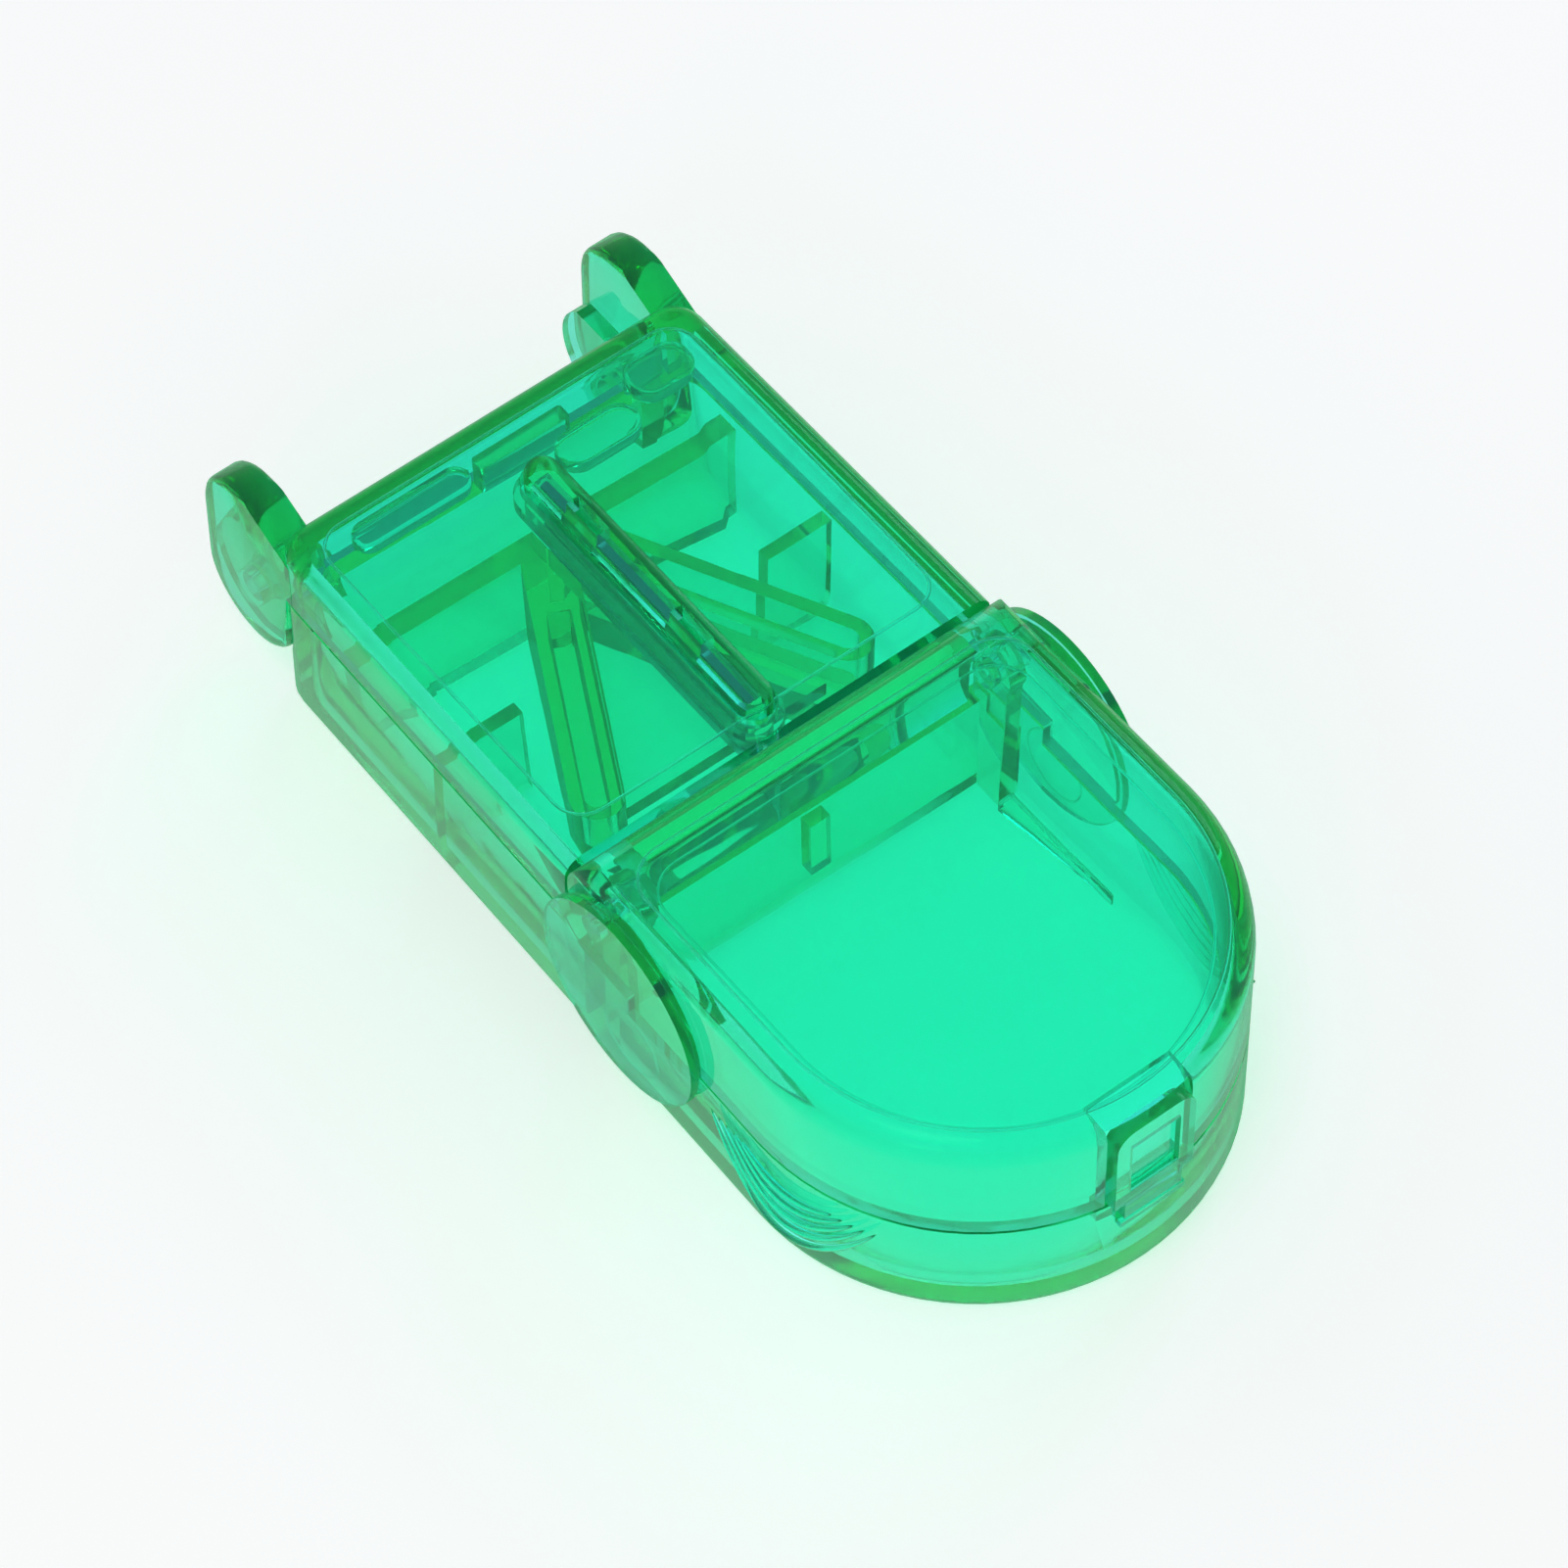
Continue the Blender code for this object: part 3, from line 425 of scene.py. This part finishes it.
def plate(name, outline, thickness, place, edge, body, material):
    """Pushes a closed outline up by its thickness, bevels it, then moves it with the matrix place."""
    bm = bmesh.new()
    floor = [bm.verts.new((x, y, 0)) for x, y in outline]
    face = bm.faces.new(floor)
    grown = bmesh.ops.extrude_face_region(bm, geom=[face])
    top = [v for v in grown["geom"] if isinstance(v, bmesh.types.BMVert)]
    bmesh.ops.translate(bm, verts=top, vec=(0, 0, thickness))
    bmesh.ops.recalc_face_normals(bm, faces=bm.faces)
    sharp = [e for e in bm.edges if len(e.link_faces) == 2 and e.calc_face_angle() > BEVELLED_ABOVE]
    bmesh.ops.bevel(bm, geom=sharp, offset=edge, segments=BEVEL_STEPS, affect="EDGES", profile=0.5)
    bmesh.ops.transform(bm, matrix=place, verts=bm.verts)
    bmesh.ops.recalc_face_normals(bm, faces=bm.faces)
    mesh = bpy.data.meshes.new(name)
    bm.to_mesh(mesh)
    bm.free()
    mesh.shade_smooth()
    mesh.set_sharp_from_angle(angle=CRISP_ABOVE)
    return add_piece(name, mesh, body, material)


print("plates stand", round(HAIR / MM, 3), "mm off their wall")

# %% [markdown]
# ## Beads and outlines
# A bead is a round wire of constant thickness along a path. A curve with a round bevel draws it, and the curve is then
# turned into a plain mesh. The outlines are arcs and rectangles with round corners, because a moulded panel has no
# sharp corner either.

# %% Beads and outlines
WIRE_STEPS, CORNER_STEPS = 2, 6


def bead(name, points, radius, closed, body, material):
    curve = bpy.data.curves.new(name, "CURVE")
    curve.dimensions = "3D"
    curve.bevel_depth = radius
    curve.bevel_resolution = WIRE_STEPS
    curve.use_fill_caps = True
    line = curve.splines.new("POLY")
    line.points.add(len(points) - 1)
    for slot_point, point in zip(line.points, points):
        slot_point.co = (*point, 1)
    line.use_cyclic_u = closed
    wire = bpy.data.objects.new(name + ".wire", curve)
    bpy.context.scene.collection.objects.link(wire)
    bpy.context.view_layer.update()
    mesh = bpy.data.meshes.new_from_object(wire.evaluated_get(bpy.context.evaluated_depsgraph_get()))
    bpy.data.objects.remove(wire)
    mesh.name = name
    mesh.shade_smooth()
    return add_piece(name, mesh, body, material)


def arc(x, y, radius, first, last, steps):
    turns = [math.radians(first + (last - first) * i / steps) for i in range(steps + 1)]
    return [(x + radius * math.cos(a), y + radius * math.sin(a)) for a in turns]


def rounded(x0, x1, y0, y1, r):
    """A rectangle with round corners, as an outline."""
    return (
        arc(x1 - r, y1 - r, r, 0, 90, CORNER_STEPS)
        + arc(x0 + r, y1 - r, r, 90, 180, CORNER_STEPS)
        + arc(x0 + r, y0 + r, r, 180, 270, CORNER_STEPS)
        + arc(x1 - r, y0 + r, r, 270, 360, CORNER_STEPS)
    )


print("a rounded outline has", len(rounded(-1, 1, -1, 1, 0.2)), "points")

# %% [markdown]
# ## Ribbed finger grips
# Each side wall has a lens-shaped patch of fine ribs below the seam, where a finger and thumb hold the box shut. The
# ribs follow one rule: every rib is the same shallow arch, and each next one is longer and dips deeper. A rule that
# repeats is what Geometry Nodes are for, so one line is duplicated, bent by its number and laid round the wall. First
# come the sizes, which start from the tray's own box, and three helpers that keep the tree short to write.

# %% Grip sizes and node helpers
tray_low, tray_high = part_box("base_tray")
FRONT_RADIUS = 19.0 * MM
front_middle = tray_low.y + FRONT_RADIUS
RIB_COUNT, RIB_RADIUS, RIB_POINTS, RIB_SIDES = 5, 0.3 * MM, 56, 8
GRIP_TOP, GRIP_DEPTH = 8.7 * MM, 6.2 * MM
GRIP_START, GRIP_LENGTH = -18.3 * MM, 15.3 * MM
SHORTEST = 0.45  # what the length of the shortest rib starts from, as a share of the longest


def grown_tree(name):
    tree = bpy.data.node_groups.new(name, "GeometryNodeTree")
    tree.interface.new_socket("Geometry", in_out="OUTPUT", socket_type="NodeSocketGeometry")
    return tree


def number(tree, name, value, kind="NodeSocketFloat"):
    socket = tree.interface.new_socket(name, in_out="INPUT", socket_type=kind)
    socket.default_value = value
    return socket


def math_node(tree, operation, first, second=None, third=None):
    node = tree.nodes.new("ShaderNodeMath")
    node.operation = operation
    for slot_in, value in zip(node.inputs, (first, second, third)):
        if value is None:
            continue
        if isinstance(value, (int, float)):
            slot_in.default_value = value
        else:
            tree.links.new(value, slot_in)
    return node.outputs[0]


print("tray runs from", round(tray_low.y / MM, 1), "to", round(tray_high.y / MM, 1), "mm")

# %% [markdown]
# ## One rib by rule
# A rib's points run from 0 to 1 along its line. That number becomes a distance round the wall and a height that dips
# in the middle. The distance first goes straight along the side, and what is left over turns round the front end. So
# the ribs lie snugly on both the flat and the round part of the wall.

# %% One rib by rule
def rib_points(tree, given, copy_number):
    """The place of every point of every rib, and the arch that is 0 at a rib's ends and 1 at its middle."""
    along = tree.nodes.new("GeometryNodeSplineParameter").outputs["Factor"]
    step = math_node(tree, "ADD", copy_number, 1)
    share = math_node(tree, "DIVIDE", step, given["Ribs"])
    spread = math_node(tree, "MULTIPLY_ADD", share, 1 - SHORTEST, SHORTEST)
    centred = math_node(tree, "SUBTRACT", along, 0.5)
    place = math_node(tree, "MULTIPLY_ADD", centred, spread, 0.5)
    fall = math_node(tree, "MULTIPLY", along, math_node(tree, "SUBTRACT", 1, along))
    arch = math_node(tree, "MULTIPLY", fall, 4)
    drop = math_node(tree, "MULTIPLY", math_node(tree, "MULTIPLY", arch, share), given["Depth"])
    height = math_node(tree, "SUBTRACT", given["Top"], drop)
    run = math_node(tree, "MULTIPLY", place, given["Length"])
    straight_run = math_node(tree, "SUBTRACT", given["Start"], given["Wall middle"])
    straight = math_node(tree, "MINIMUM", run, straight_run)
    turn = math_node(tree, "DIVIDE", math_node(tree, "SUBTRACT", run, straight), given["Wall radius"])
    reach = math_node(tree, "ADD", given["Wall radius"], given["Rib radius"])
    out_to = math_node(tree, "MULTIPLY", reach, math_node(tree, "COSINE", turn))
    x = math_node(tree, "MULTIPLY", out_to, given["Side"])
    back = math_node(tree, "MULTIPLY", reach, math_node(tree, "SINE", turn))
    y = math_node(tree, "SUBTRACT", math_node(tree, "SUBTRACT", given["Start"], straight), back)
    point = tree.nodes.new("ShaderNodeCombineXYZ")
    for value, slot_in in zip((x, y, height), point.inputs):
        tree.links.new(value, slot_in)
    return point.outputs[0], arch


print(RIB_COUNT, "ribs of", RIB_POINTS, "points")

# %% [markdown]
# ## The grip's tree
# The tree draws one line, copies it once for each rib, moves every point by the rule and wraps a round tube on the
# result. The tube thins to nothing at both ends, as a ribbed patch fades into its wall. The taper goes in the Scale
# input of Curve to Mesh, and the points that fall together at the ends are merged, so that each rib is closed.

# %% The grip's tree
RIB_JOINED = 0.005 * MM


def grip_tree(material):
    tree = grown_tree("finger_grip")
    number(tree, "Ribs", RIB_COUNT, "NodeSocketInt")
    number(tree, "Length", GRIP_LENGTH)
    number(tree, "Depth", GRIP_DEPTH)
    number(tree, "Top", GRIP_TOP)
    number(tree, "Start", GRIP_START)
    number(tree, "Rib radius", RIB_RADIUS)
    number(tree, "Wall radius", FRONT_RADIUS)
    number(tree, "Wall middle", front_middle)
    number(tree, "Side", 1.0)
    given = tree.nodes.new("NodeGroupInput").outputs
    line = tree.nodes.new("GeometryNodeCurvePrimitiveLine")
    fine = tree.nodes.new("GeometryNodeResampleCurve")
    fine.inputs["Count"].default_value = RIB_POINTS
    tree.links.new(line.outputs[0], fine.inputs["Curve"])
    copies = tree.nodes.new("GeometryNodeDuplicateElements")
    copies.domain = "SPLINE"
    tree.links.new(fine.outputs[0], copies.inputs["Geometry"])
    tree.links.new(given["Ribs"], copies.inputs["Amount"])
    point, arch = rib_points(tree, given, copies.outputs["Duplicate Index"])
    lay = tree.nodes.new("GeometryNodeSetPosition")
    tree.links.new(copies.outputs["Geometry"], lay.inputs["Geometry"])
    tree.links.new(point, lay.inputs["Position"])
    ring = tree.nodes.new("GeometryNodeCurvePrimitiveCircle")
    ring.inputs["Resolution"].default_value = RIB_SIDES
    tree.links.new(given["Rib radius"], ring.inputs["Radius"])
    tube = tree.nodes.new("GeometryNodeCurveToMesh")
    tree.links.new(lay.outputs[0], tube.inputs["Curve"])
    tree.links.new(math_node(tree, "POWER", arch, 0.5), tube.inputs["Scale"])
    tree.links.new(ring.outputs[0], tube.inputs["Profile Curve"])
    real = tree.nodes.new("GeometryNodeRealizeInstances")
    coat = tree.nodes.new("GeometryNodeSetMaterial")
    coat.inputs["Material"].default_value = material
    out = tree.nodes.new("NodeGroupOutput")
    points_joined = tree.nodes.new("GeometryNodeMergeByDistance")
    points_joined.inputs["Distance"].default_value = RIB_JOINED
    tree.links.new(tube.outputs[0], points_joined.inputs[0])
    tree.links.new(points_joined.outputs[0], real.inputs[0])
    tree.links.new(real.outputs[0], coat.inputs["Geometry"])
    tree.links.new(coat.outputs[0], out.inputs[0])
    return tree


rib_tree = grip_tree(green)
print("tree", rib_tree.name, "has", len(rib_tree.nodes), "nodes")

# %% [markdown]
# ## Growing the grips
# The same tree makes both grips: only the value named Side differs. The result becomes a plain mesh. Taking the wall
# to its other side turns a tube inside out, so the faces are turned outwards again afterwards.

# %% Growing the grips
RIB_CRISP = math.radians(60)


def grown_mesh(name, tree, values):
    """Runs a tree with the named values on an empty mesh and returns the plain result."""
    seed = bpy.data.objects.new(name + ".seed", bpy.data.meshes.new(name + ".seed"))
    bpy.context.scene.collection.objects.link(seed)
    modifier = seed.modifiers.new("grow", "NODES")
    modifier.node_group = tree
    sockets = {i.name: i.identifier for i in tree.interface.items_tree if i.in_out == "INPUT"}
    for key, value in values.items():
        modifier[sockets[key]] = value
    bpy.context.view_layer.update()
    mesh = bpy.data.meshes.new_from_object(seed.evaluated_get(bpy.context.evaluated_depsgraph_get()))
    seed.modifiers.remove(modifier)
    bpy.data.objects.remove(seed)
    mesh.name = name
    mesh.shade_smooth()
    mesh.set_sharp_from_angle(angle=RIB_CRISP)
    return mesh


for tag, side in (("left", -1.0), ("right", 1.0)):
    values = {"Side": side, "Wall radius": FRONT_RADIUS + HAIR, "Wall middle": front_middle}
    ribs = grown_mesh("finger_grip_" + tag, rib_tree, values)
    bm = bmesh.new()
    bm.from_mesh(ribs)
    bmesh.ops.recalc_face_normals(bm, faces=bm.faces)
    bm.to_mesh(ribs)
    bm.free()
    add_piece("finger_grip_" + tag, ribs, "base", green)
    print("grip", tag, len(ribs.polygons), "faces")

# %% [markdown]
# ## Beads and marks on the storage lid
# A fine bead runs round the flat top of the storage lid, just inside the rounded edge, and a second one under the
# roof. They hide the sink line over the side wall. Each cheek disc has a shallow ring on its inner face, left by the
# pin that pushes the part out of its mould. All are wires of constant thickness, so the bead helper makes them.

# %% Beads and marks on the storage lid
lid_low, lid_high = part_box("storage_lid")
ROOF = 1.5 * MM
PANEL_REAR, PANEL_CORNER = -5.2 * MM, 3.0 * MM
OUTER_HALF, OUTER_BEAD = 16.9 * MM, 0.12 * MM
INNER_HALF, INNER_BEAD = 15.9 * MM, 0.1 * MM
INNER_INSET = 4 * MM  # from the rear of the panel to the middle of the inner bead's corners
FRONT_STEPS, REAR_STEPS = 48, 8


def panel_path(half, corner_y):
    """A half circle at the front and two round corners at the rear."""
    path = arc(0, front_middle, half, 180, 360, FRONT_STEPS)
    path += arc(half - PANEL_CORNER, corner_y, PANEL_CORNER, 0, 90, REAR_STEPS)
    return path + arc(-half + PANEL_CORNER, corner_y, PANEL_CORNER, 90, 180, REAR_STEPS)


for name, half, radius, corner_y, z in (
    ("lid_panel_bead", OUTER_HALF, OUTER_BEAD, PANEL_REAR - PANEL_CORNER, lid_high.z + OUTER_BEAD + HAIR),
    ("lid_inner_bead", INNER_HALF, INNER_BEAD, PANEL_REAR - INNER_INSET, lid_high.z - ROOF - INNER_BEAD - HAIR),
):
    path = [(x, y, z) for x, y in panel_path(half, corner_y)]
    made = bead(name, path, radius, True, "storage", green)
    print(name, len(made.data.polygons), "faces at", round(z / MM, 2), "mm")

# %% [markdown]
# ## Rings on the cheek discs
# The ring is a full circle on the inner face of each disc. It has to clear the link that joins the disc to the lid, so
# it sits in the lower half of the disc.

# %% Rings on the cheek discs
DISC_INNER, RING_STANDOFF = 19.3 * MM, 0.1 * MM
RING_Y, RING_Z, RING_RADIUS, RING_WIRE = -9.7 * MM, 7.0 * MM, 3.0 * MM, 0.08 * MM
RING_POINTS = 32
circle = arc(RING_Y, RING_Z, RING_RADIUS, 0, 360 - 360 / RING_POINTS, RING_POINTS - 1)
for tag, side in (("left", -1), ("right", 1)):
    points = [(side * (DISC_INNER - RING_STANDOFF), y, z) for y, z in circle]
    made = bead("disc_ring_" + tag, points, RING_WIRE, True, "storage", green)
    print(made.name, "stands at", round(side * DISC_INNER / MM, 1), "mm; the lid starts at", round(lid_low.x / MM, 1))

# %% [markdown]
# ## Stops and stiffeners inside the cutting lid
# Round-ended pads hang under the cutting lid near its hinge and keep it off the cross wall. Two thick blocks stiffen
# its rear wall, which is why the rear edge shows stretches of deep green. They are plates with round corners.

# %% Stops and stiffeners inside the cutting lid
cut_low, cut_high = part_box("cutter_lid")
print("cutting lid box", [round(v / MM, 1) for v in (*cut_low, *cut_high)])
ROOF_UNDER, PAD_THICK, PAD_EDGE = 16.3 * MM, 1.4 * MM, 0.3 * MM
hang = Matrix.Translation((0, 0, ROOF_UNDER - HAIR - PAD_THICK))
for name, x0, x1, y0, y1, radius in (
    ("stop_pad_left", -13.2, -3.2, 29.6, 32.0, 1.2),
    ("stop_pad_middle", 2.6, 9.6, 26.2, 29.4, 1.6),
    ("stop_pad_right", 10.6, 15.8, 28.0, 31.6, 1.5),
):
    outline = rounded(x0 * MM, x1 * MM, y0 * MM, y1 * MM, radius * MM)
    plate(name, outline, PAD_THICK, hang, PAD_EDGE, "cutter", green)
    print(name, round(x1 - x0, 1), "by", round(y1 - y0, 1), "mm")

BLOCK_LOW, BLOCK_TALL, BLOCK_EDGE = 12.2 * MM, 3.0 * MM, 0.15 * MM
BLOCK_REAR = 32.3 * MM
stand = Matrix.Translation((0, 0, BLOCK_LOW))
for name, x0, x1, y0, radius in (
    ("rear_block_middle", -2.0, 6.0, 30.9, 0.3),
    ("rear_block_right", 11.6, 15.0, 31.7, 0.25),
):
    outline = rounded(x0 * MM, x1 * MM, y0 * MM, BLOCK_REAR, radius * MM)
    plate(name, outline, BLOCK_TALL, stand, BLOCK_EDGE, "cutter", green)
    print(name, round(x1 - x0, 1), "by", round(BLOCK_REAR / MM - y0, 1), "mm")

# %% [markdown]
# ## Panel bead on the cutting lid
# The cutting lid has the same fine bead as the storage lid, along its own outline with four round corners. One helper
# makes both, so the two lids look like one family.

# %% Panel bead on the cutting lid
CUT_HALF, CUT_CORNER = 16.2 * MM, 2.4 * MM
CUT_FRONT, CUT_REAR = 0.9 * MM, 31.8 * MM
outline = rounded(-CUT_HALF, CUT_HALF, CUT_FRONT, CUT_REAR, CUT_CORNER)
CUT_BEAD = 0.12 * MM
LID_FACE = 17.8 * MM
bead_z = LID_FACE + CUT_BEAD + HAIR
made = bead("cutting_lid_bead", [(x, y, bead_z) for x, y in outline], CUT_BEAD, True, "cutter", green)
print(made.name, len(made.data.polygons), "faces")

# %% [markdown]
# ## Wedges in the storage bay
# Ahead of each hinge post a thin wedge lies on the floor along the side wall. It carries the load of the post into
# the floor. Seen through the lid it is a dark green stroke that narrows to a point. A wedge is a plate whose inner
# edge follows a power curve.

# %% Wedges in the storage bay
BAY_SIDE, BAY_FLOOR = 16.5 * MM, 1.5 * MM
WEDGE_START, WEDGE_END = -7.4 * MM, -19.0 * MM
WEDGE_WIDTH, WEDGE_TIP, WEDGE_HEIGHT = 1.2 * MM, 0.15 * MM, 1.2 * MM
WEDGE_EDGE, WEDGE_POWER, STEPS = 0.05 * MM, 1.5, 8
lift = Matrix.Translation((0, 0, BAY_FLOOR + HAIR))
for tag, side in (("left", -1), ("right", 1)):
    inner = []
    for step in range(STEPS + 1):
        t = step / STEPS
        width = WEDGE_TIP + WEDGE_WIDTH * (1 - t) ** WEDGE_POWER
        inner.append((BAY_SIDE - width, WEDGE_START + (WEDGE_END - WEDGE_START) * t))
    wedge = [(side * x, y) for x, y in [(BAY_SIDE, WEDGE_START)] + inner + [(BAY_SIDE, WEDGE_END)]]
    made = plate("bay_wedge_" + tag, wedge, WEDGE_HEIGHT, lift, WEDGE_EDGE, "base", green)
    print(made.name, round((WEDGE_START - WEDGE_END) / MM, 1), "mm long")
